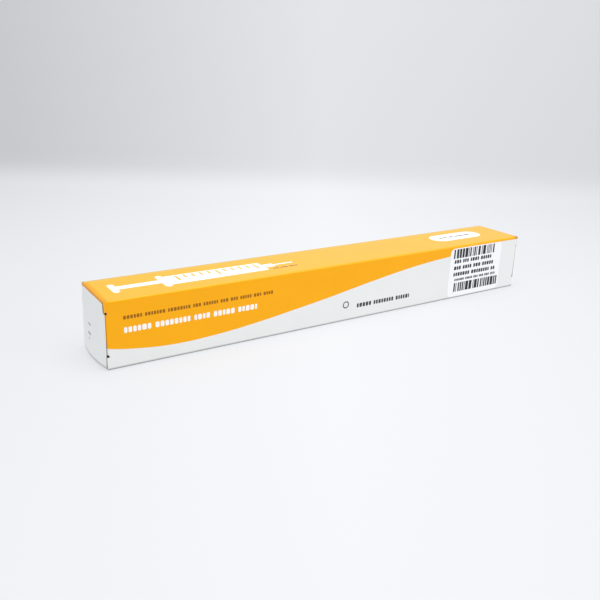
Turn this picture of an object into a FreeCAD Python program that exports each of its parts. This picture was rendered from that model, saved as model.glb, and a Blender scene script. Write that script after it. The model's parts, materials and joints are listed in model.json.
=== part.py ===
"""Folding carton for a laboratory syringe, closed and empty.

One sheet of paperboard is folded into a long square sleeve with a glued seam inside the back, and four dust
flaps are folded in across its ends. At each end a closure hangs on the top panel's fold and is tucked in with
its tongue. The closures swing, so each is a solid of its own. A paper label lies on the front panel.

Millimetres. X runs along the carton, -Y is the front, +Z is up, and the origin is the middle of the base.
"""

import FreeCAD, Part
import math
import os

from FreeCAD import Vector

# Driving dimensions of the carton
length = 220.0
width = 27.4
height = 27.4
board = 0.45
clearance = 0.1

# Folds, by the radius of their inner face
long_fold_inside = 0.35
glue_fold_inside = 0.15
dust_fold_inside = 0.25
hinge_fold_inside = 0.65
tuck_fold_inside = 0.45

# Glued seam
glue_flap_width = 12.0
glue_flap_taper = 15.0
glue_flap_setback = 1.5
seam_edge_height = 0.25

# Dust flaps
dust_foot = 6.2
dust_head = 5.2
dust_notch = 1.0
dust_gap = 6.4
dust_taper = 9.0
dust_corner = 2.5

# End closures
closure_side_gap = 0.35
closure_stand = 0.3
closure_flare = 0.55
closure_bow = 1.3
closure_overlap = 0.6
closure_shoulder = 0.8
closure_shoulder_round = 0.3
closure_corner = 2.4
hinge_split = 135.0
tongue_length = 12.5
tongue_side_gap = 0.6
tongue_corner = 5.0
panel_shares = (0, 0.5, 1)

# Label
label_length = 35.8
label_height = 25.1
label_end_gap = 11.6
label_edge_gap = 1.0
label_thickness = 0.1
label_corner = 2.5

# Planes that a profile is drawn for: it is drawn on X and Y, then turned to stand across the named axis
ACROSS_X = FreeCAD.Rotation(Vector(1, 1, 1), 120)
ACROSS_Y = FreeCAD.Rotation(Vector(1, 0, 0), 90)
ACROSS_Z = FreeCAD.Rotation()

front = -width / 2
inner_half_width = width / 2 - board
closure_half_width = inner_half_width - closure_side_gap
panel_half_width = closure_half_width + closure_overlap
long_fold = long_fold_inside + board
glue_fold = glue_fold_inside + board
dust_fold = dust_fold_inside + board
hinge_fold = hinge_fold_inside + board
tuck_fold = tuck_fold_inside + board


def unit(angle):
    """The direction at an angle in degrees."""
    return Vector(math.cos(math.radians(angle)), math.sin(math.radians(angle)), 0)


def edge(centre, start, end):
    """A straight edge where there is no centre, and else the shorter arc about it."""
    if centre is None:
        return Part.makeLine(start, end)
    half_way = (start - centre) + (end - centre)
    middle = centre + half_way.normalize() * (start - centre).Length
    return Part.Arc(start, middle, end).toShape()


def rounded(points, radii):
    """A path from the first point to the last as (centre, start, end) pieces, with an arc at each corner whose
    radius isn't zero."""
    path = []
    here = Vector(*points[0])
    for before, corner, after, radius in zip(points, points[1:], points[2:], radii):
        corner = Vector(*corner)
        back = (Vector(*before) - corner).normalize()
        onward = (Vector(*after) - corner).normalize()
        half_angle = back.getAngle(onward) / 2
        setback = radius / math.tan(half_angle)
        centre = corner + (back + onward).normalize() * (radius / math.sin(half_angle))
        path.append((None, here, corner + back * setback))
        here = corner + onward * setback
        if radius:
            path.append((centre, path[-1][2], here))
    path.append((None, here, Vector(*points[-1])))
    return path


def face(path):
    """The face inside a closed path."""
    return Part.Face(Part.Wire([edge(*piece) for piece in path]))


def outline(points, radii):
    """A closed face with rounded corners, one radius for each point. It starts half-way along its last side."""
    start = tuple((Vector(*points[0]) + Vector(*points[-1])) / 2)
    return face(rounded([start, *points, start], radii))


def inset(centre, start, end):
    """A piece of a board's outer face, moved through the board to its inner face on the right."""
    if centre is None:
        ahead = (end - start).normalize()
        inward = Vector(ahead.y, -ahead.x, 0) * board
        return None, start + inward, end + inward
    inner = 1 - board / (start - centre).Length
    return centre, centre + (start - centre) * inner, centre + (end - centre) * inner


def sheet(path):
    """The section of a bent board, whose outer face follows the path with the board on its right."""
    inner = [inset(*piece) for piece in path]
    back = [(centre, end, start) for centre, start, end in reversed(inner)]
    far_end = (None, path[-1][2], inner[-1][2])
    near_end = (None, inner[0][1], path[0][1])
    return face([*path, far_end, *back, near_end])


def extrude(shape, rotation, low, high):
    """The solid that a face drawn on X and Y sweeps from low to high, once it is turned by the rotation."""
    solid = shape.extrude(Vector(0, 0, high - low))
    solid.translate(Vector(0, 0, low))
    solid.Placement = FreeCAD.Placement(Vector(), rotation).multiply(solid.Placement)
    return solid


def swapped(shape, axis):
    """The mirror image of a shape across the middle of the carton."""
    return shape.mirror(Vector(), axis)


def joined(shapes):
    """One solid of several that meet."""
    return shapes[0].multiFuse(shapes[1:]).removeSplitter().Solids[0]


class ClosureLines:
    """The left closure's own lines. Its section on X and Z has the hinge fold, a panel that leans out to the tuck
    fold, and a tongue that is curved about the hinge, so that it slides out past the base as the closure swings.
    In plan the tuck fold is bowed, because the board springs out between its two ends."""

    def __init__(self):
        self.top_x = -length / 2 - closure_stand
        self.hinge_bend = Vector(self.top_x + hinge_fold, height - hinge_fold, 0)
        self.hinge = self.hinge_bend + unit(hinge_split) * hinge_fold
        self.low_x = self.top_x - closure_flare
        self.low_z = board + clearance + tuck_fold
        self.bow_radius = closure_half_width ** 2 / (2 * closure_bow) + closure_bow / 2
        self.bow = Vector(self.low_x - closure_bow + self.bow_radius, 0, 0)
        self.tongue_radius = self.hinge.y - board - clearance

    def bowed(self, radius, y):
        """The point on X and Y where a circle about the bow's centre crosses y, on its outer side."""
        return Vector(self.bow.x - math.sqrt(radius ** 2 - y ** 2), y, 0)

    def hinge_part(self):
        """The section of the closure's own half of the hinge fold."""
        return sheet([(self.hinge_bend, Vector(self.top_x, self.hinge_bend.y, 0), self.hinge)])

    def top_edge(self, end):
        """The section of the top panel's own half of the hinge fold, running in to x = end."""
        crown = Vector(self.hinge_bend.x, height, 0)
        return sheet([(self.hinge_bend, self.hinge, crown), (None, crown, Vector(end, height, 0))])

    def tuck_part(self):
        """The section of the tuck fold, where it stands out furthest."""
        centre = Vector(self.low_x - closure_bow + tuck_fold, self.low_z, 0)
        return sheet([(centre, centre + unit(270) * tuck_fold, centre + unit(180) * tuck_fold)])

    def tongue(self):
        """The section of the tongue, from its free edge out to the tuck fold, and the x of its free edge."""
        tip = self.hinge + unit(270 + math.degrees(tongue_length / self.tongue_radius)) * self.tongue_radius
        below = self.hinge + unit(270) * self.tongue_radius
        return sheet([(self.hinge, tip, below), (None, below, Vector(self.low_x - closure_bow, below.y, 0))]), tip.x


lines = ClosureLines()
dust_face = lines.top_x + board + clearance
dust_crease = dust_face + dust_fold


def end_cuts():
    """What is cut out of the sleeve's left end: the top panel's width for the closure, and both sides' height for
    the dust flaps, with a notch above and below each flap."""
    closure_room = Part.makeBox(
        lines.hinge_bend.x + length / 2, 2 * inner_half_width, height / 2,
        Vector(-length / 2, -inner_half_width, height / 2),
    )
    low, high = dust_foot - dust_notch, height - dust_head + dust_notch
    flap_room = Part.makeBox(dust_crease + length / 2, width, high - low, Vector(-length / 2, front, low))
    return [closure_room, flap_room]


def sleeve():
    """The four long panels, from the seam's fold round the front and over the top to the back's cut edge."""
    path = [
        (inner_half_width - glue_fold, 0),
        (front, 0),
        (front, height),
        (width / 2, height),
        (width / 2, seam_edge_height),
    ]
    panels = extrude(sheet(rounded(path, [long_fold] * 3)), ACROSS_X, -length / 2, length / 2)
    return panels.cut([*end_cuts(), *[swapped(room, Vector(1, 0, 0)) for room in end_cuts()]])


def glue_flap():
    """The flap glued inside the back panel, with tapered ends."""
    top = board + glue_flap_width
    root_end = -length / 2 + glue_flap_setback
    top_end = root_end + glue_flap_width * math.tan(math.radians(glue_flap_taper))
    path = [(inner_half_width, top), (inner_half_width, 0), (inner_half_width - 2 * glue_fold, 0)]
    flap = extrude(sheet(rounded(path, [glue_fold])), ACROSS_X, root_end, -root_end)
    taper = outline(
        [(root_end, 0), (-root_end, 0), (-root_end, board), (-top_end, top), (top_end, top), (root_end, board)],
        [0] * 6,
    )
    return flap.common(extrude(taper, ACROSS_Y, -width / 2, width / 2))


def dust_flap():
    """The front flap of the left end: folded in from the front panel, tapered and rounded to its free edge."""
    tip = -dust_gap / 2
    path = [(dust_crease + dust_fold, front), (dust_face, front), (dust_face, tip)]
    low, high = dust_foot, height - dust_head
    flap = extrude(sheet(rounded(path, [dust_fold])), ACROSS_Z, low, high)
    narrowing = (tip - front) * math.tan(math.radians(dust_taper))
    shape = outline(
        [(front, low), (front + dust_fold, low), (tip, low + narrowing), (tip, high - narrowing),
         (front + dust_fold, high), (front, high)],
        [0, 0, dust_corner, dust_corner, 0, 0],
    )
    return flap.common(extrude(shape, ACROSS_X, -length / 2, 0))


def hinge_edge():
    """The top panel's half of the fold that the left closure hangs on."""
    profile = lines.top_edge(lines.hinge_bend.x + long_fold)
    return extrude(profile, ACROSS_Y, -closure_half_width, closure_half_width)


def carton_body():
    """The folded and glued sheet without its two closures."""
    one_end = [hinge_edge(), dust_flap(), swapped(dust_flap(), Vector(0, 1, 0))]
    other_end = [swapped(shape, Vector(1, 0, 0)) for shape in one_end]
    return joined([sleeve(), glue_flap(), *one_end, *other_end])


def rim(share):
    """The outline round the closure's panel at one height: share is 0 along the hinge fold, where it is straight,
    and 1 along the tuck fold. It leans out and bows out by the square of the share, as a springy flap does."""
    side = panel_half_width
    x = lines.top_x - closure_flare * share ** 2
    bow = closure_bow * share ** 2
    if bow:
        radius = closure_half_width ** 2 / (2 * bow) + bow / 2
        centre = Vector(x - bow + radius, 0, 0)
        outer_x = centre.x - math.sqrt(radius ** 2 - side ** 2)
        inner_x = centre.x - math.sqrt((radius - board) ** 2 - side ** 2)
    else:
        centre = None
        outer_x = x
        inner_x = x + board
    outer = Vector(outer_x, -side, 0), Vector(outer_x, side, 0)
    inner = Vector(inner_x, side, 0), Vector(inner_x, -side, 0)
    wire = Part.Wire([
        edge(centre, *outer),
        edge(None, outer[1], inner[0]),
        edge(centre, *inner),
        edge(None, inner[1], outer[0]),
    ])
    wire.translate(Vector(0, 0, lines.hinge_bend.y + (lines.low_z - lines.hinge_bend.y) * share))
    return wire


def leaning_panel():
    """The closure's panel, straight along the hinge fold and bowed out along the tuck fold."""
    return Part.makeLoft([rim(share) for share in panel_shares], True)


def tuck_edge():
    """The bowed fold between the closure's panel and its tongue, turned about the bow's upright axis."""
    profile = lines.tuck_part()
    profile.Placement = FreeCAD.Placement(Vector(), ACROSS_Y)
    half_turn = 1.2 * math.degrees(math.asin(closure_half_width / lines.bow_radius))
    profile.rotate(lines.bow, Vector(0, 0, 1), -half_turn)
    return profile.revolve(lines.bow, Vector(0, 0, 1), 2 * half_turn)


def tongue():
    """The tongue: its root follows the bowed tuck fold, and its free edge has rounded corners."""
    side = inner_half_width - board - tongue_side_gap
    profile, tip = lines.tongue()
    root = [lines.bowed(lines.bow_radius - tuck_fold, y) for y in (-side, side)]
    plan = face([
        *rounded([root[0], (tip, -side), (tip, side), root[1]], [tongue_corner] * 2),
        (lines.bow, root[1], root[0]),
    ])
    return extrude(profile, ACROSS_Y, -side, side).common(extrude(plan, ACROSS_Z, 0, height))


def closure_flap():
    """The left closure: its half of the hinge fold, its panel, the tuck fold and the narrower tongue. Between the
    sleeve's corners the panel is as narrow as the fold, and below a shoulder it covers the dust flaps' folds."""
    side = closure_half_width
    wide = panel_half_width
    shoulder = height - dust_head
    neck = shoulder + closure_shoulder
    bend = closure_shoulder_round
    shape = outline(
        [(-wide, 0), (wide, 0), (wide, shoulder), (side, neck), (side, height), (-side, height), (-side, neck),
         (-wide, shoulder)],
        [closure_corner, closure_corner, bend, bend, 0, 0, bend, bend],
    )
    hinge_half = extrude(lines.hinge_part(), ACROSS_Y, -side, side)
    panel = joined([hinge_half, leaning_panel(), tuck_edge()])
    return joined([panel.common(extrude(shape, ACROSS_X, -length, 0)), tongue()])


def barcode_label():
    """The paper label on the front panel, near the right end."""
    right = length / 2 - label_end_gap
    left = right - label_length
    low, high = label_edge_gap, label_edge_gap + label_height
    shape = outline([(left, low), (right, low), (right, high), (left, high)], [label_corner] * 4)
    return extrude(shape, ACROSS_Y, -front, -front + label_thickness)


parts = {
    "carton_body": carton_body(),
    "left_closure_flap": closure_flap(),
    "right_closure_flap": swapped(closure_flap(), Vector(1, 0, 0)),
    "barcode_label": barcode_label(),
}

os.makedirs("parts", exist_ok=True)
for name, shape in parts.items():
    shape.exportStep(f"parts/{name}.step")
    print(name, "valid", shape.isValid(), "solids", len(shape.Solids), "volume", round(shape.Volume, 2))
print("left hinge line: x", round(lines.hinge.x, 4), "z", round(lines.hinge.y, 4))
print("dust flaps' outer face: x", round(dust_face, 4), "tuck fold's furthest: x", round(lines.low_x - closure_bow, 4))
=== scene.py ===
"""Looks for a tuck end carton: printed and coated paperboard, a stuck-on label, and the print as thin ink.

Metres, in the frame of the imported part. Print is laid out in millimetres from the carton's left end, front
face and base, and turned into metres where it is built.
"""

import json
import math
import random

import bmesh
import bpy
from mathutils import Matrix, Vector
from mathutils.bvhtree import BVHTree


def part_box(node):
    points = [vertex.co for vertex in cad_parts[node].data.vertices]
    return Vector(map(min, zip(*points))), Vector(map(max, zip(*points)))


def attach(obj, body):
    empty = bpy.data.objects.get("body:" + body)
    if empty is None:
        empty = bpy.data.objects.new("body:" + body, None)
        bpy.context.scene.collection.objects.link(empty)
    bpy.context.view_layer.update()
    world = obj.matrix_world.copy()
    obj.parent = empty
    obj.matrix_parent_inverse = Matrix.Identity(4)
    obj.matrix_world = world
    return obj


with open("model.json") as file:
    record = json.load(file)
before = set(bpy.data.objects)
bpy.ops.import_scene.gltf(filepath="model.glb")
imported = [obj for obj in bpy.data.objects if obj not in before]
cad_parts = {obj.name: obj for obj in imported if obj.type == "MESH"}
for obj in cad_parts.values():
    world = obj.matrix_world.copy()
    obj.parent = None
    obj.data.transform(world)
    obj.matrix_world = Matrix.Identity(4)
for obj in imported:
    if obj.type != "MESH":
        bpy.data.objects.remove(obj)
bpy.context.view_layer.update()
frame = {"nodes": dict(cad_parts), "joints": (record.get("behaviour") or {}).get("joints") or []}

MM = 0.001
BODY = "carton"
LEFT = "left_closure"

# The carton's faces, in millimetres
body_low, body_high = (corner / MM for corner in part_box("carton_body"))
label_face_y = (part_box("barcode_label")[0] / MM).y
half_length = body_high.x
front_y, back_y, top_z = body_low.y, body_high.y, body_high.z

# The folds, as the part's source makes them, in millimetres
board = 0.45
long_fold = 0.8
hinge_fold = 1.1
hinge_line = Vector(frame["joints"][0]["pos_m"]) / MM
hinge_bend_x = abs(hinge_line.x) - hinge_fold * math.cos(math.radians(45))
hinge_bend_z = top_z - hinge_fold
dust_crease_x = 109.05

# How far the print stands off the board, and sinks into it, in millimetres
ink = 0.015
sunk = 0.01

# Colours, as written in sRGB
ORANGE = (255, 176, 0)
# A darker orange: painted shade beside the top's end folds, and the print bled over the closures' hinge
# folds
FOLD_ORANGE = (222, 146, 24)
# Painted shade: the line along the top's far fold, and the line along its two end folds
FAR_FOLD_SHADE_ORANGE = (207, 176, 83)
END_FOLD_SHADE_COLOUR = (172, 156, 112)
TIP_WEAR = (120, 104, 78)
WHITE_COAT = (236, 237, 236)
# Painted shade along the lower folds and the closures' base
SHADE_GREY = (90, 90, 89)
INSIDE = (226, 224, 218)
CUT_EDGE = (231, 229, 223)
# Painted light: the right closure's cut edges in pure white, against the shade in its slits
WHITENED_EDGE = (255, 255, 255)
# Painted shade on the left closure's cut edges near its base
LOW_EDGE = (220, 220, 215)
# The closures' cut edges at the neck: the bled orange print, darkened by painted shade
NECK_EDGE = (192, 138, 30)
LABEL_WHITE = (249, 250, 252)
BROWN_INK = (160, 100, 0)
GREY_INK = (58, 58, 62)
BLACK_INK = (20, 23, 28)
WHITE_INK = (252, 250, 246)
FAINT_INK = (160, 164, 170)
FLOOR = (122, 123, 125)
GLOW_COLOUR = (250, 252, 255)

# How much darker the clouds and fibres in a colour are, and how much paler the patches in an ink
ORANGE_CLOUDS = 0.035
BLED_CLOUDS = 0.05
PALE_CLOUDS = 0.02
INSIDE_FIBRES = 0.07
INK_FADE = 0.036

# Noise patterns, as scale and detail
WAVES = (0.035, 1.0)
TOOTH = (2.2, 4.0)
CLOUDS = (0.06, 3.0)
GRAIN = (1.6, 2.0)
FIBRES = (5.0, 3.0)
SHADE_PATCHES = (0.5, 3.0)
BLEED_WAVER = (0.12, 2.0)
INK_PATCHES = (3.0, 3.0)

# The share of each noise in the clouds, and the stretch of its values that is used
CLOUD_SHARE, GRAIN_SHARE = 0.6, 0.4
CLOUD_RANGE = (0.35, 0.65)
INK_RANGE = (0.35, 0.7)

# The paper's relief: its depths in metres, its strength, and the label's share of that
WAVE_DEPTH = 0.00035
TOOTH_DEPTH = 0.00001
RELIEF = 0.5
LABEL_RELIEF = 0.6

# Refractive indices. The board's is low, so that it shines only where it is seen at a slant
PLAIN_INDEX = 1.5
BOARD_INDEX = 1.38

# Specular levels, and how much of the top's is lost where the varnish has cracked
TOP_SHEEN = 0.58
SIDE_SHEEN = 0.32
LABEL_SHEEN = 0.35
INK_SHEEN = 0.25
CRACKED_LOSS = 0.75

# Roughness, and how much rougher the sheet is inside
COAT_ROUGHNESS = 0.3
INSIDE_ROUGHER = 0.5
CLOSURE_ROUGHNESS = 0.34
LABEL_ROUGHNESS = 0.5
INK_ROUGHNESS = 0.4
SMOOTH_INK_ROUGHNESS = 0.32

# Sheen and painted shade by the folds: how far from the edge, in millimetres, each starts and is full
TOP_FACE = (0.9, 0.1)
TOP_FOLD = (0.9, 0.3)
TOP_SHADE_BAND = (1.2, 0.6)
FAR_SHADE_BAND = (2.5, 1.7)
END_SHADE_BAND = (0.7, 0.2)
END_CREASE_SHADE_BAND = (2.1, 1.0)
END_CRACKS = (2.4, 1.4)

# How strong the painted shade beside the folds is, as shares of its colour
CREASE_SHADE = 0.55
END_SHADE = 0.6
LEAST_PATCH, PATCH_GAIN = 0.25, 0.5

# The stretch of the patches' noise that makes the far fold's painted shade line
FAR_SHADE_RANGE = (0.0, 0.5)

# The worn spot at the top's right tip: its reach and its core, in millimetres, and how strong it is
TIP_REACH, TIP_CORE = 3.6, 0.3
TIP_SHARE = 0.55

# The painted shade along the lower folds: how high it reaches, in millimetres, and how strong it is
LOW_FOLD_SHADE_HEIGHT = 1.3
LOW_FOLD_SHADE = 0.92

# How far the bled orange's end wavers on the closures, in millimetres
BLEED_WAVER_DEPTH = 0.35

# The closures' painted base shade: how strong, and the heights between which it ends, in millimetres
CLOSURE_BASE_SHADE = 0.55
CLOSURE_BASE_SHADE_END = (1.0, 2.5)

# The heights between which a closure's cut edge changes colour, in millimetres
LOW_EDGE_END = (4.5, 6.0)
NECK_EDGE_START = (22.0, 22.8)

# How squarely a face looks along the carton or across it, for a cut edge, or inward, for the inner face
END_ON = 0.9
SIDE_ON = 0.8
INNER = -0.35

# How near to the sleeve's end its cut edge is, in millimetres
SLEEVE_END_TOLERANCE = 0.02

# The sweep on the front: the height of the orange field's lower edge along the carton, in millimetres
SWEEP = [(0, 9.0), (10, 7.1), (27, 5.55), (45, 6.05), (62, 7.6), (80, 10.0), (98, 12.6), (124, 16.9),
         (146, 20.1), (160, 21.6), (172, 22.5), (182, 24.2), (190, 25.9), (196, 26.05)]

# The height that the sweep's curve may reach, as a share of the carton's
SWEEP_CEILING = 1.5

# How far below the top the orange ends, except on the front, in millimetres
TOP_BLEED = 1.35


def linear(colour):
    """An sRGB colour of 0 to 255 as the linear RGBA that a shader takes."""
    channels = [c / 255 for c in colour]
    return [c / 12.92 if c <= 0.04045 else ((c + 0.055) / 1.055) ** 2.4 for c in channels] + [1.0]


def darkened(colour, share):
    """A linear colour, darker by a share."""
    return [c * (1 - share) for c in colour[:3]] + [1.0]


class Shader:
    """A material's node tree, built by short calls. An input is a number, a colour or a node's socket."""

    def __init__(self, name):
        self.material = bpy.data.materials.new(name)
        self.material.use_nodes = True
        self.tree = self.material.node_tree
        self.tree.nodes.clear()

    def node(self, kind, inputs=None, **settings):
        made = self.tree.nodes.new(kind)
        for key, value in settings.items():
            setattr(made, key, value)
        for key, value in (inputs or {}).items():
            self.feed(made.inputs[key], value)
        return made

    def feed(self, socket, value):
        if isinstance(value, bpy.types.NodeSocket):
            self.tree.links.new(value, socket)
        else:
            socket.default_value = value

    def math(self, operation, *values):
        return self.node("ShaderNodeMath", dict(enumerate(values)), operation=operation).outputs[0]

    def plus(self, one, other):
        return self.math("ADD", one, other)

    def minus(self, one, other):
        return self.math("SUBTRACT", one, other)

    def times(self, one, other):
        return self.math("MULTIPLY", one, other)

    def rest(self, share):
        """What a share leaves of 1."""
        return self.math("SUBTRACT", 1.0, share)

    def size(self, value):
        """The value without its sign."""
        return self.math("ABSOLUTE", value)

    def over(self, value, limit):
        """1 where the value is over the limit, and 0 elsewhere."""
        return self.math("GREATER_THAN", value, limit)

    def under(self, value, limit):
        """1 where the value is under the limit, and 0 elsewhere."""
        return self.math("LESS_THAN", value, limit)

    def mix(self, factor, low, high):
        inputs = {0: factor, 6: low, 7: high}
        return self.node("ShaderNodeMix", inputs, data_type="RGBA").outputs[2]

    def ramp(self, value, low, high):
        """0 where the value is on low's side, 1 on high's side, and smooth between."""
        inputs = {"Value": value, "From Min": low, "From Max": high}
        return self.node("ShaderNodeMapRange", inputs, interpolation_type="SMOOTHSTEP").outputs[0]

    def near(self, value, edge, band):
        """0 further below the edge than the band's start, and 1 from where the band is full."""
        start, full = band
        return self.ramp(value, edge - start, edge - full)

    def places(self):
        """The surface's place at rest in millimetres: the vector, and its X, Y and Z."""
        coordinates = self.node("ShaderNodeTexCoord")
        inputs = {0: coordinates.outputs["Object"], 3: 1 / MM}
        scaled = self.node("ShaderNodeVectorMath", inputs, operation="SCALE").outputs[0]
        parts = self.node("ShaderNodeSeparateXYZ", {0: scaled})
        return scaled, parts.outputs[0], parts.outputs[1], parts.outputs[2]

    def facing(self):
        """The X, Y and Z of the way the surface faces at rest."""
        coordinates = self.node("ShaderNodeTexCoord")
        parts = self.node("ShaderNodeSeparateXYZ", {0: coordinates.outputs["Normal"]})
        return parts.outputs[0], parts.outputs[1], parts.outputs[2]

    def noise(self, place, pattern):
        scale, detail = pattern
        inputs = {"Vector": place, "Scale": scale, "Detail": detail}
        return self.node("ShaderNodeTexNoise", inputs).outputs["Fac"]

    def bump(self, height, distance, strength, below=None):
        inputs = {"Height": height, "Distance": distance, "Strength": strength}
        if below is not None:
            inputs["Normal"] = below
        return self.node("ShaderNodeBump", inputs).outputs[0]

    def finish(self, colour, roughness, specular, normal=None, index=PLAIN_INDEX, glow=0.0):
        inputs = {"Base Color": colour, "Roughness": roughness, "Specular IOR Level": specular,
                  "IOR": index, "Emission Color": linear(GLOW_COLOUR), "Emission Strength": glow}
        if normal is not None:
            inputs["Normal"] = normal
        surface = self.node("ShaderNodeBsdfPrincipled", inputs)
        self.node("ShaderNodeOutputMaterial", {"Surface": surface.outputs[0]})
        return self.material


def length_of(s, a, b):
    """The length of a flat vector, from its two parts."""
    return s.math("SQRT", s.plus(s.times(a, a), s.times(b, b)))


def outside_sleeve(s, y, z):
    """1 on the sleeve's outer face and 0 inside it, by the distance to its section's rounded square."""
    side = s.minus(s.size(y), back_y - long_fold)
    rise = s.minus(s.size(s.minus(z, top_z / 2)), top_z / 2 - long_fold)
    corner = length_of(s, s.math("MAXIMUM", side, 0.0), s.math("MAXIMUM", rise, 0.0))
    flat = s.math("MINIMUM", s.math("MAXIMUM", side, rise), 0.0)
    distance = s.minus(s.plus(corner, flat), long_fold)
    return s.over(distance, -board / 2)


def outside_hinge(s, x, z):
    """1 on the outer face of the two hinge folds, by the distance to the bend's centre."""
    past = s.minus(s.size(x), hinge_bend_x)
    above = s.minus(z, hinge_bend_z)
    far_out = s.over(length_of(s, past, above), hinge_fold - board / 2)
    in_fold = s.times(s.over(past, 0.0), s.over(above, 0.0))
    return s.times(far_out, in_fold)


def paper_bump(s, place, strength=1.0):
    """The board's slow waves under a fine tooth."""
    waves = s.bump(s.noise(place, WAVES), WAVE_DEPTH, RELIEF * strength)
    return s.bump(s.noise(place, TOOTH), TOOTH_DEPTH, RELIEF * strength, waves)


def tinted(s, place, colour, spread):
    """A colour with the faint cloudiness of print on board."""
    cloud = s.times(s.noise(place, CLOUDS), CLOUD_SHARE)
    grain = s.times(s.noise(place, GRAIN), GRAIN_SHARE)
    full = linear(colour)
    return s.mix(s.ramp(s.plus(cloud, grain), *CLOUD_RANGE), darkened(full, spread), full)


def sweep_height(s, x):
    """The height of the sweep's edge along the carton."""
    length = 2 * half_length
    ceiling = top_z * SWEEP_CEILING
    curve = s.node("ShaderNodeFloatCurve", {"Value": s.math("DIVIDE", s.plus(x, half_length), length)})
    line = curve.mapping.curves[0]
    line.points[0].location = (SWEEP[0][0] / length, SWEEP[0][1] / ceiling)
    line.points[1].location = (1.0, SWEEP[-1][1] / ceiling)
    for place, height in SWEEP[1:]:
        line.points.new(place / length, height / ceiling)
    curve.mapping.update()
    return s.times(curve.outputs[0], ceiling)


def orange_limit(s, x, y):
    """The height above which the sheet is orange: the sweep in front, and just under the top behind."""
    front = s.under(y, front_y + long_fold)
    sweep = s.times(front, sweep_height(s, x))
    return s.plus(sweep, s.times(s.rest(front), top_z - TOP_BLEED))


def end_fold_shade(s, orange, x, z):
    """The orange, with a painted shade beside the top's two end folds."""
    share = s.times(s.near(s.size(x), half_length, END_CREASE_SHADE_BAND), CREASE_SHADE)
    return s.mix(s.times(share, s.near(z, top_z, TOP_FOLD)), orange, linear(FOLD_ORANGE))


def shaded_fold_lines(s, orange, place, x, y, z):
    """The orange, with a patchy painted shade along the top's far fold and along its two end folds."""
    top = s.near(z, top_z, TOP_SHADE_BAND)
    patches = s.noise(place, SHADE_PATCHES)
    far = s.times(s.near(y, back_y, FAR_SHADE_BAND), s.ramp(patches, *FAR_SHADE_RANGE))
    orange = s.mix(s.times(far, top), orange, linear(FAR_FOLD_SHADE_ORANGE))
    end = s.times(s.near(s.size(x), half_length, END_SHADE_BAND), END_SHADE)
    patchy = s.plus(LEAST_PATCH, s.times(patches, PATCH_GAIN))
    return s.mix(s.times(s.times(end, top), patchy), orange, linear(END_FOLD_SHADE_COLOUR))


def worn_tip(s, orange, place):
    """The orange, with the worn spot at the top's right tip."""
    inputs = {0: place, 1: (half_length, front_y, top_z)}
    distance = s.node("ShaderNodeVectorMath", inputs, operation="DISTANCE").outputs["Value"]
    return s.mix(s.times(s.ramp(distance, TIP_REACH, TIP_CORE), TIP_SHARE), orange, linear(TIP_WEAR))


def shaded_low_folds(s, face, y, z):
    """The sheet's outer face, with a painted shade along its two lower folds."""
    at_fold = s.over(s.size(y), back_y - long_fold)
    share = s.times(at_fold, s.rest(s.ramp(z, 0.0, LOW_FOLD_SHADE_HEIGHT)))
    return s.mix(s.times(share, LOW_FOLD_SHADE), face, linear(SHADE_GREY))


def plain_board(s, place):
    """The sheet's uncoated inner face."""
    full = linear(INSIDE)
    return s.mix(s.noise(place, FIBRES), darkened(full, INSIDE_FIBRES), full)


def sheen(s, x, z):
    """The board's specular level: highest on the top, and low over its end folds, where the varnish has
    cracked."""
    cracked = s.times(s.near(s.size(x), half_length, END_CRACKS), CRACKED_LOSS)
    more = s.minus(s.times(TOP_SHEEN, s.rest(cracked)), SIDE_SHEEN)
    return s.plus(SIDE_SHEEN, s.times(s.near(z, top_z, TOP_FACE), more))


def printed_board():
    """The sheet: orange over the top and down to the sweep, white coat elsewhere, plain board inside."""
    s = Shader("printed_board")
    place, x, y, z = s.places()
    orange = tinted(s, place, ORANGE, ORANGE_CLOUDS)
    # Painted shade beside the top's two end folds
    orange = end_fold_shade(s, orange, x, z)
    # Painted shade along the top's far fold and its two end folds
    orange = shaded_fold_lines(s, orange, place, x, y, z)
    orange = worn_tip(s, orange, place)
    face = s.mix(s.over(z, orange_limit(s, x, y)), tinted(s, place, WHITE_COAT, PALE_CLOUDS), orange)
    # Painted shade along the two lower folds
    face = shaded_low_folds(s, face, y, z)
    on_dust_flap = s.over(s.size(x), dust_crease_x)
    outer = s.math("MAXIMUM", outside_sleeve(s, y, z), outside_hinge(s, x, z))
    outer = s.math("MAXIMUM", outer, on_dust_flap)
    colour = s.mix(outer, plain_board(s, place), face)
    at_sleeve_end = s.math("COMPARE", s.size(x), half_length, SLEEVE_END_TOLERANCE)
    cut = s.times(s.over(s.size(s.facing()[0]), END_ON), at_sleeve_end)
    colour = s.mix(cut, colour, linear(CUT_EDGE))
    roughness = s.plus(COAT_ROUGHNESS, s.times(s.rest(outer), INSIDE_ROUGHER))
    return s.finish(colour, roughness, sheen(s, x, z), paper_bump(s, place), BOARD_INDEX)


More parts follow.
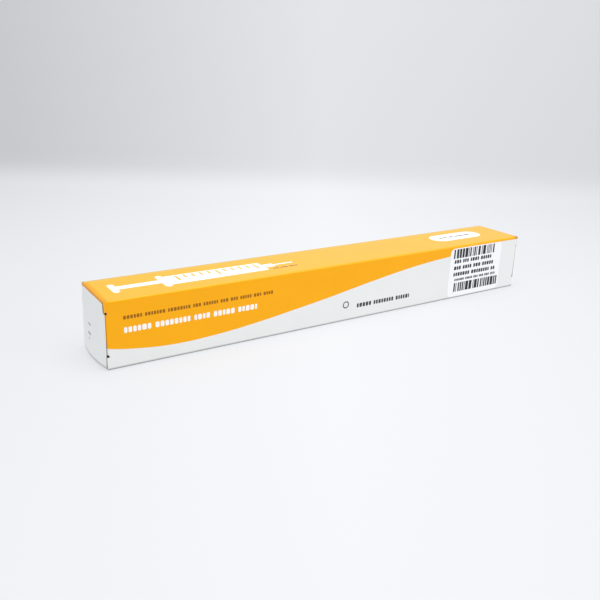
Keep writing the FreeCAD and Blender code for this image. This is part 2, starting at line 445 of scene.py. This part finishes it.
def closure_board(name, edge, low_edge):
    """An end closure: white coat, the orange bled over its hinge fold, plain board on the inner face, and a
    painted shade along its base. Its cut side edges have a colour of their own near the base, and are orange
    at the neck, the bled print darkened by painted shade."""
    s = Shader(name)
    place, x, _, z = s.places()
    facing_x, facing_y, facing_z = s.facing()
    bleed_end = s.plus(hinge_bend_z, s.times(s.noise(place, BLEED_WAVER), BLEED_WAVER_DEPTH))
    bled = tinted(s, place, FOLD_ORANGE, BLED_CLOUDS)
    colour = s.mix(s.over(z, bleed_end), tinted(s, place, WHITE_COAT, PALE_CLOUDS), bled)
    # Painted shade along the closure's base
    base_shade = s.times(s.rest(s.ramp(z, *CLOSURE_BASE_SHADE_END)), CLOSURE_BASE_SHADE)
    colour = s.mix(base_shade, colour, linear(SHADE_GREY))
    outward = s.times(facing_x, s.math("SIGN", x))
    colour = s.mix(s.under(s.minus(outward, facing_z), INNER), colour, linear(INSIDE))
    # Near the base the cut edges take the given colour: painted shade on the left closure, painted light on
    # the right
    cut = s.mix(s.ramp(z, *LOW_EDGE_END), linear(low_edge), linear(edge))
    # At the neck, the bled orange print darkened by painted shade
    cut = s.mix(s.ramp(z, *NECK_EDGE_START), cut, linear(NECK_EDGE))
    colour = s.mix(s.over(s.size(facing_y), SIDE_ON), colour, cut)
    return s.finish(colour, CLOSURE_ROUGHNESS, SIDE_SHEEN, paper_bump(s, place), BOARD_INDEX)


def label_paper():
    """The label's smooth matt paper."""
    s = Shader("label_paper")
    place = s.places()[0]
    colour = tinted(s, place, LABEL_WHITE, PALE_CLOUDS)
    return s.finish(colour, LABEL_ROUGHNESS, LABEL_SHEEN, paper_bump(s, place, LABEL_RELIEF))


def ink_material(name, colour, roughness=INK_ROUGHNESS, fade=INK_FADE):
    """Print in one colour, a little uneven like ink on board."""
    s = Shader(name)
    place = s.places()[0]
    dark = linear(colour)
    light = [c + (1 - c) * fade for c in dark[:3]] + [1.0]
    patchy = s.mix(s.ramp(s.noise(place, INK_PATCHES), *INK_RANGE), dark, light)
    return s.finish(patchy, roughness, INK_SHEEN)


def dress(node, material):
    """Gives a CAD node's slots a material."""
    for slot in frame["nodes"][node].material_slots:
        slot.material = material


# The steps in a rounded corner of a shape, of a tiny shape, and of a ring
STEPS = 4
FEW_STEPS = 2
MANY_STEPS = 8


def rounded_box(low_u, low_v, high_u, high_v, radius, steps=STEPS):
    """The corners of a flat box with rounded corners, anticlockwise."""
    radius = min(radius, (high_u - low_u) / 2, (high_v - low_v) / 2)
    if radius <= 0:
        return [(low_u, low_v), (high_u, low_v), (high_u, high_v), (low_u, high_v)]
    centres = [(high_u - radius, low_v + radius, -90), (high_u - radius, high_v - radius, 0),
               (low_u + radius, high_v - radius, 90), (low_u + radius, low_v + radius, 180)]
    points = []
    for u, v, start in centres:
        for step in range(steps + 1):
            angle = math.radians(start + 90 * step / steps)
            points.append((u + radius * math.cos(angle), v + radius * math.sin(angle)))
    return points


def on_front(u, v, lift):
    """A place on the front: u from the left end, v from the base."""
    return Vector((u - half_length, front_y - lift, v))


def on_label(u, v, lift):
    """A place on the label, measured as on the front."""
    return Vector((u - half_length, label_face_y - lift, v))


def on_top(u, v, lift):
    """A place on the top: u from the left end, v from the front face."""
    return Vector((u - half_length, front_y + v, top_z + lift))


def on_top_ink(u, v, lift):
    """A place on the white ink that is on the top, measured as on the top."""
    return on_top(u, v, lift + ink)


def on_left_end(u, v, lift):
    """A place on the left closure, which bulges: u from the front face, v from the base."""
    start = Vector((-2 * half_length, front_y + u, v)) * MM
    hit = closure_surface.ray_cast(start, Vector((1, 0, 0)))[0]
    return hit / MM - Vector((lift, 0, 0))


def bridge(mesh, one, other):
    """A band of faces between two loops of as many corners."""
    for i in range(len(one)):
        j = (i + 1) % len(one)
        mesh.faces.new([one[i], one[j], other[j], other[i]])


def print_piece(name, shapes, place, material, body=BODY):
    """One mesh of thin ink, raised off its face and sunk a little into it. Each shape is a flat outline,
    or a pair of them with ink only between the two."""
    mesh = bmesh.new()
    for shape in shapes:
        loops = shape if isinstance(shape, tuple) else (shape,)
        upper = [[mesh.verts.new(place(u, v, ink) * MM) for u, v in loop] for loop in loops]
        lower = [[mesh.verts.new(place(u, v, -sunk) * MM) for u, v in loop] for loop in loops]
        for high, low in zip(upper, lower):
            bridge(mesh, high, low)
        if len(loops) == 2:
            bridge(mesh, *upper)
            bridge(mesh, *lower)
        else:
            mesh.faces.new(upper[0])
            mesh.faces.new(lower[0])
    bmesh.ops.recalc_face_normals(mesh, faces=mesh.faces)
    data = bpy.data.meshes.new(name)
    mesh.to_mesh(data)
    mesh.free()
    data.materials.append(material)
    piece = bpy.data.objects.new(name, data)
    bpy.context.scene.collection.objects.link(piece)
    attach(piece, body)


def ring(u, v, radius, thick):
    """The two outlines of a ring."""
    return tuple(rounded_box(u - r, v - r, u + r, v + r, r, MANY_STEPS) for r in (radius, radius - thick))


# A block in a row and the gaps after it, as shares of the row's height
BLOCK_WIDTH = 0.62
BLOCK_SPREAD = (0.75, 1.2)
BLOCK_CORNER = 0.2
BLOCK_GAP = 0.2
WIDE_GAP = 0.55

# How few and how many blocks stand between two wide gaps
BLOCKS_BETWEEN = (3, 8)


def blocks(seed, start, end, middle, height, width=BLOCK_WIDTH):
    """A row of plain rounded blocks, with a wider gap now and then."""
    pick = random.Random(seed)
    low, high = middle - height / 2, middle + height / 2
    shapes = []
    u = start
    left = pick.randint(*BLOCKS_BETWEEN)
    while u < end - height * BLOCK_GAP:
        wide = min(height * width * pick.uniform(*BLOCK_SPREAD), end - u)
        shapes.append(rounded_box(u, low, u + wide, high, height * BLOCK_CORNER, FEW_STEPS))
        u += wide + height * BLOCK_GAP
        left -= 1
        if left == 0:
            u += height * WIDE_GAP
            left = pick.randint(*BLOCKS_BETWEEN)
    return shapes


# Stripes: the narrowest, in millimetres, and how many times it a stripe or a gap may be
NARROW = 0.48
STRIPE_WIDTHS = (1, 2, 2, 3, 4)
STRIPE_GAPS = (1, 1, 1, 2)


def stripes(seed, start, end, low, high):
    """Plain upright stripes of a few widths, which stand for nothing."""
    pick = random.Random(seed)
    shapes = []
    u = start
    while u < end - NARROW:
        wide = min(NARROW * pick.choice(STRIPE_WIDTHS), end - u)
        shapes.append(rounded_box(u, low, u + wide, high, 0))
        u += wide + NARROW * pick.choice(STRIPE_GAPS)
    return shapes


# The syringe drawn on the top: where each part starts and ends, its half height and its corners' radius
DRAWING_MIDDLE = 13.15
THUMB_REST = (6.7, 9.3, 5.2, 1.2)
PLUNGER_ROD = (9.3, 27.0, 1.9, 0.0)
FINGER_FLANGE = (27.0, 29.8, 7.2, 1.3)
BARREL = (29.8, 74.0, 5.4, 0.8)
NOZZLE = (74.0, 79.0, 2.1, 0.6)
NEEDLE = (79.0, 88.6, 0.6, 0.3)

# The lines on its barrel: the first, the last, their pitch, their size and their distance from the edge
GRADUATIONS_START, GRADUATIONS_END, GRADUATION_PITCH = 34.5, 70.6, 3.6
LONG_GRADUATION, SHORT_GRADUATION = 6.4, 4.0
GRADUATION_WIDTH, GRADUATION_CORNER = 1.0, 0.3
GRADUATION_MARGIN = 0.9
LONG_EVERY = 5


def drawn_syringe():
    """A plain drawing of a syringe, as white shapes for the top."""
    shapes = []
    for start, end, half, radius in (THUMB_REST, PLUNGER_ROD, FINGER_FLANGE, BARREL, NOZZLE, NEEDLE):
        shapes.append(rounded_box(start, DRAWING_MIDDLE - half, end, DRAWING_MIDDLE + half, radius))
    return shapes


def drawn_graduations():
    """The scale on the drawn barrel: short lines, every fifth one long, in the board's orange."""
    far = DRAWING_MIDDLE + BARREL[2] - GRADUATION_MARGIN
    shapes = []
    for i in range(int((GRADUATIONS_END - GRADUATIONS_START) / GRADUATION_PITCH) + 1):
        u = GRADUATIONS_START + i * GRADUATION_PITCH
        tall = SHORT_GRADUATION if i % LONG_EVERY else LONG_GRADUATION
        shapes.append(rounded_box(u, far - tall, u + GRADUATION_WIDTH, far, GRADUATION_CORNER, FEW_STEPS))
    return shapes


# Rows of blocks: the seed of their widths, then start, end, middle and height, in millimetres
FRONT_BROWN_ROW = (11, 6.9, 71.5, 20.1, 1.5)
FRONT_WHITE_ROW = (12, 7.0, 63.7, 15.1, 2.3)
FRONT_GREY_ROW = (13, 116.0, 147.3, 6.45, 2.0)
TOP_ROW = (14, 76.5, 88.6, 8.4, 1.1)
PANEL_ROW = (15, 178.5, 200.0, 15.0, 1.6)
LABEL_ROWS = ((31, 175.6, 201.7, 19.2, 1.9), (32, 175.6, 204.8, 15.9, 1.9), (33, 175.6, 204.8, 12.6, 1.9))
LABEL_FINE_ROW = (34, 176.7, 205.5, 9.7, 1.3)
END_ROWS = ((41, 16.2, 19.2, 13.0, 1.0), (42, 15.4, 19.0, 9.4, 1.3), (43, 16.2, 18.2, 7.4, 0.6))
LABEL_BLOCK_WIDTH = 0.66

# The label's stripes: the seed, then start, end, low and high, in millimetres
LABEL_STRIPES = ((21, 174.7, 203.2, 20.9, 25.6), (22, 176.6, 207.5, 3.4, 8.05))

# The front's ring: its middle, radius and thickness
FRONT_RING = (109.7, 7.83, 1.7, 0.5)

# The top's panel: its low and high corners and their radius
TOP_PANEL = (173.3, 9.6, 205.3, 20.4, 5.4)


def label_shapes():
    """The label's stripes and its three bold rows of blocks."""
    shapes = []
    for run in LABEL_STRIPES:
        shapes += stripes(*run)
    for row in LABEL_ROWS:
        shapes += blocks(*row, LABEL_BLOCK_WIDTH)
    return shapes


def end_shapes():
    """The left end's three short rows of blocks."""
    shapes = []
    for row in END_ROWS:
        shapes += blocks(*row)
    return shapes


def build_print():
    """Everything printed on the carton and its label, as plain shapes in the print's colours."""
    brown = ink_material("brown_ink", BROWN_INK, fade=0.0)
    grey = ink_material("grey_ink", GREY_INK)
    black = ink_material("black_ink", BLACK_INK)
    white = ink_material("white_print", WHITE_INK, SMOOTH_INK_ROUGHNESS)
    orange = ink_material("orange_ink", ORANGE, SMOOTH_INK_ROUGHNESS, 0.0)
    faint = ink_material("faint_ink", FAINT_INK)
    print_piece("front_small_print", blocks(*FRONT_BROWN_ROW), on_front, brown)
    print_piece("front_white_print", blocks(*FRONT_WHITE_ROW), on_front, white)
    print_piece("front_grey_print", [*blocks(*FRONT_GREY_ROW), ring(*FRONT_RING)], on_front, grey)
    print_piece("drawn_syringe", drawn_syringe(), on_top, white)
    print_piece("drawn_graduations", drawn_graduations(), on_top_ink, orange)
    print_piece("top_small_print", blocks(*TOP_ROW), on_top, grey)
    print_piece("top_white_panel", [rounded_box(*TOP_PANEL, MANY_STEPS)], on_top, white)
    print_piece("top_panel_print", blocks(*PANEL_ROW), on_top_ink, grey)
    print_piece("label_print", label_shapes(), on_label, black)
    print_piece("label_fine_print", blocks(*LABEL_FINE_ROW), on_label, grey)
    print_piece("end_print", end_shapes(), on_left_end, faint, LEFT)


# The photograph's camera, fitted to the carton's edges: angles in degrees, distances in metres
AZIMUTH, ELEVATION, ROLL = -33.18, 19.47, 1.84
FOCAL_PIXELS = 698.1
FRAME_PIXELS = 600
SENSOR = 36.0
NEAREST_SEEN = 0.01
DISTANCE = 0.3180
TARGET = Vector((-0.01619, 0.0, 0.00849))


def camera():
    """The camera at the photograph's place, turned by its small roll."""
    azimuth, elevation, roll = (math.radians(a) for a in (AZIMUTH, ELEVATION, ROLL))
    back = Vector((math.sin(azimuth) * math.cos(elevation), -math.cos(azimuth) * math.cos(elevation),
                   math.sin(elevation)))
    right = Vector((math.cos(azimuth), math.sin(azimuth), 0.0))
    up = back.cross(right)
    tilted_right = right * math.cos(roll) + up * math.sin(roll)
    tilted_up = up * math.cos(roll) - right * math.sin(roll)
    turn = Matrix((tilted_right, tilted_up, back)).transposed()
    data = bpy.data.cameras.new("camera")
    data.sensor_width = SENSOR
    data.lens = SENSOR * FOCAL_PIXELS / FRAME_PIXELS
    data.clip_start = NEAREST_SEEN
    made = bpy.data.objects.new("camera", data)
    made.matrix_world = Matrix.Translation(TARGET + back * DISTANCE) @ turn.to_4x4()
    bpy.context.scene.collection.objects.link(made)
    bpy.context.scene.camera = made


# The tent's colour and strength
TENT_COLOUR = (0.955, 0.978, 1.0, 1.0)
TENT_STRENGTH = 0.575

# The lamps: name, place, target and size in metres, power in watts, and colour
LAMPS = (
    ("top_lamp", (0.02, -0.06, 0.55), (0.02, -0.06, 0.0), 0.6, 2.5, (1.0, 1.0, 1.0)),
    ("front_lamp", (0.54, -0.58, 0.4), (0.02, 0.0, 0.01), 0.6, 1.9, (1.0, 0.985, 0.96)),
    ("left_lamp", (-0.8, -0.15, 0.4), (0.0, 0.0, 0.01), 0.5, 1.1, (1.0, 1.0, 1.0)),
)


def area_lamp(name, place, target, size, power, colour):
    """A soft round lamp that looks at a target."""
    data = bpy.data.lights.new(name, "AREA")
    data.shape = "DISK"
    data.size = size
    data.energy = power
    data.color = colour
    made = bpy.data.objects.new(name, data)
    made.location = place
    made.rotation_euler = (Vector(target) - Vector(place)).to_track_quat("-Z", "Y").to_euler()
    bpy.context.scene.collection.objects.link(made)


def lights():
    """An even white tent, with soft lamps above, at the front right and at the left."""
    world = bpy.data.worlds.new("tent")
    world.use_nodes = True
    background = world.node_tree.nodes["Background"]
    background.inputs[0].default_value = TENT_COLOUR
    background.inputs[1].default_value = TENT_STRENGTH
    bpy.context.scene.world = world
    for lamp in LAMPS:
        area_lamp(*lamp)


# The floor's glow, and what it loses to the side and up the backdrop, over distances in millimetres
FLOOR_GLOW = 0.688
LEAST_GLOW = 0.4
GLOW_SIDE_LOSS = 0.115
GLOW_HALF_WIDTH = 245
GLOW_WALL_LOSS = 0.118
GLOW_WALL_TILT = 0.35
GLOW_RISE = 22
FLOOR_ROUGHNESS = 0.9
FLOOR_SHEEN = 0.1

# The floor's shape in metres: its reach behind the carton, its bend, and its height and half width
FLOOR_REACH = 0.3
FLOOR_BEND = 0.03
BEND_STEPS = 12
WALL_HEIGHT = 1.6
FLOOR_HALF = 3.0


def lit_floor(across):
    """The floor's matt white, lit from within like a light table so that it takes hardly any shadow. It is
    less bright away to the sides and up the backdrop, most of all up its left."""
    s = Shader("floor")
    place, _, _, z = s.places()
    side = s.node("ShaderNodeVectorMath", {0: place, 1: across}, operation="DOT_PRODUCT").outputs["Value"]
    share = s.math("DIVIDE", side, GLOW_HALF_WIDTH)
    side_loss = s.times(s.size(share), GLOW_SIDE_LOSS)
    wall_loss = s.times(GLOW_WALL_LOSS, s.rest(s.times(share, GLOW_WALL_TILT)))
    rise_loss = s.times(s.ramp(z, 0.0, GLOW_RISE), wall_loss)
    glow = s.minus(s.minus(FLOOR_GLOW, side_loss), rise_loss)
    glow = s.math("MAXIMUM", glow, LEAST_GLOW)
    return s.finish(linear(FLOOR), FLOOR_ROUGHNESS, FLOOR_SHEEN, glow=glow)


def floor_profile():
    """The floor's section, as distance behind the carton's middle and height."""
    profile = [(-FLOOR_HALF, 0.0), (FLOOR_REACH - FLOOR_BEND, 0.0)]
    for step in range(1, BEND_STEPS + 1):
        angle = math.radians(90 * step / BEND_STEPS)
        run = FLOOR_REACH - FLOOR_BEND + FLOOR_BEND * math.sin(angle)
        profile.append((run, FLOOR_BEND - FLOOR_BEND * math.cos(angle)))
    return [*profile, (FLOOR_REACH, WALL_HEIGHT)]


def floor():
    """The white floor, bent up into a backdrop behind the carton, as one smooth sheet."""
    azimuth = math.radians(AZIMUTH)
    away = Vector((-math.sin(azimuth), math.cos(azimuth), 0))
    across = Vector((math.cos(azimuth), math.sin(azimuth), 0))
    mesh = bmesh.new()
    rows = []
    for run, rise in floor_profile():
        ends = [away * run + across * side + Vector((0, 0, rise)) for side in (-FLOOR_HALF, FLOOR_HALF)]
        rows.append([mesh.verts.new(end) for end in ends])
    for near, far in zip(rows, rows[1:]):
        mesh.faces.new([near[0], near[1], far[1], far[0]])
    data = bpy.data.meshes.new("floor")
    mesh.to_mesh(data)
    mesh.free()
    for face in data.polygons:
        face.use_smooth = True
    data.materials.append(lit_floor(across))
    made = bpy.data.objects.new("floor", data)
    bpy.context.scene.collection.objects.link(made)


dress("carton_body", printed_board())
# The left closure's cut edges are darker near the base: a painted shade
dress("left_closure_flap", closure_board("left_closure_board", CUT_EDGE, LOW_EDGE))
# The right closure's cut edges in white: painted light against the shade in its slits
dress("right_closure_flap", closure_board("right_closure_board", WHITENED_EDGE, WHITENED_EDGE))
dress("barcode_label", label_paper())
depsgraph = bpy.context.evaluated_depsgraph_get()
closure_surface = BVHTree.FromObject(frame["nodes"]["left_closure_flap"], depsgraph)
build_print()
camera()
lights()
floor()
bpy.context.scene.view_settings.view_transform = "Standard"
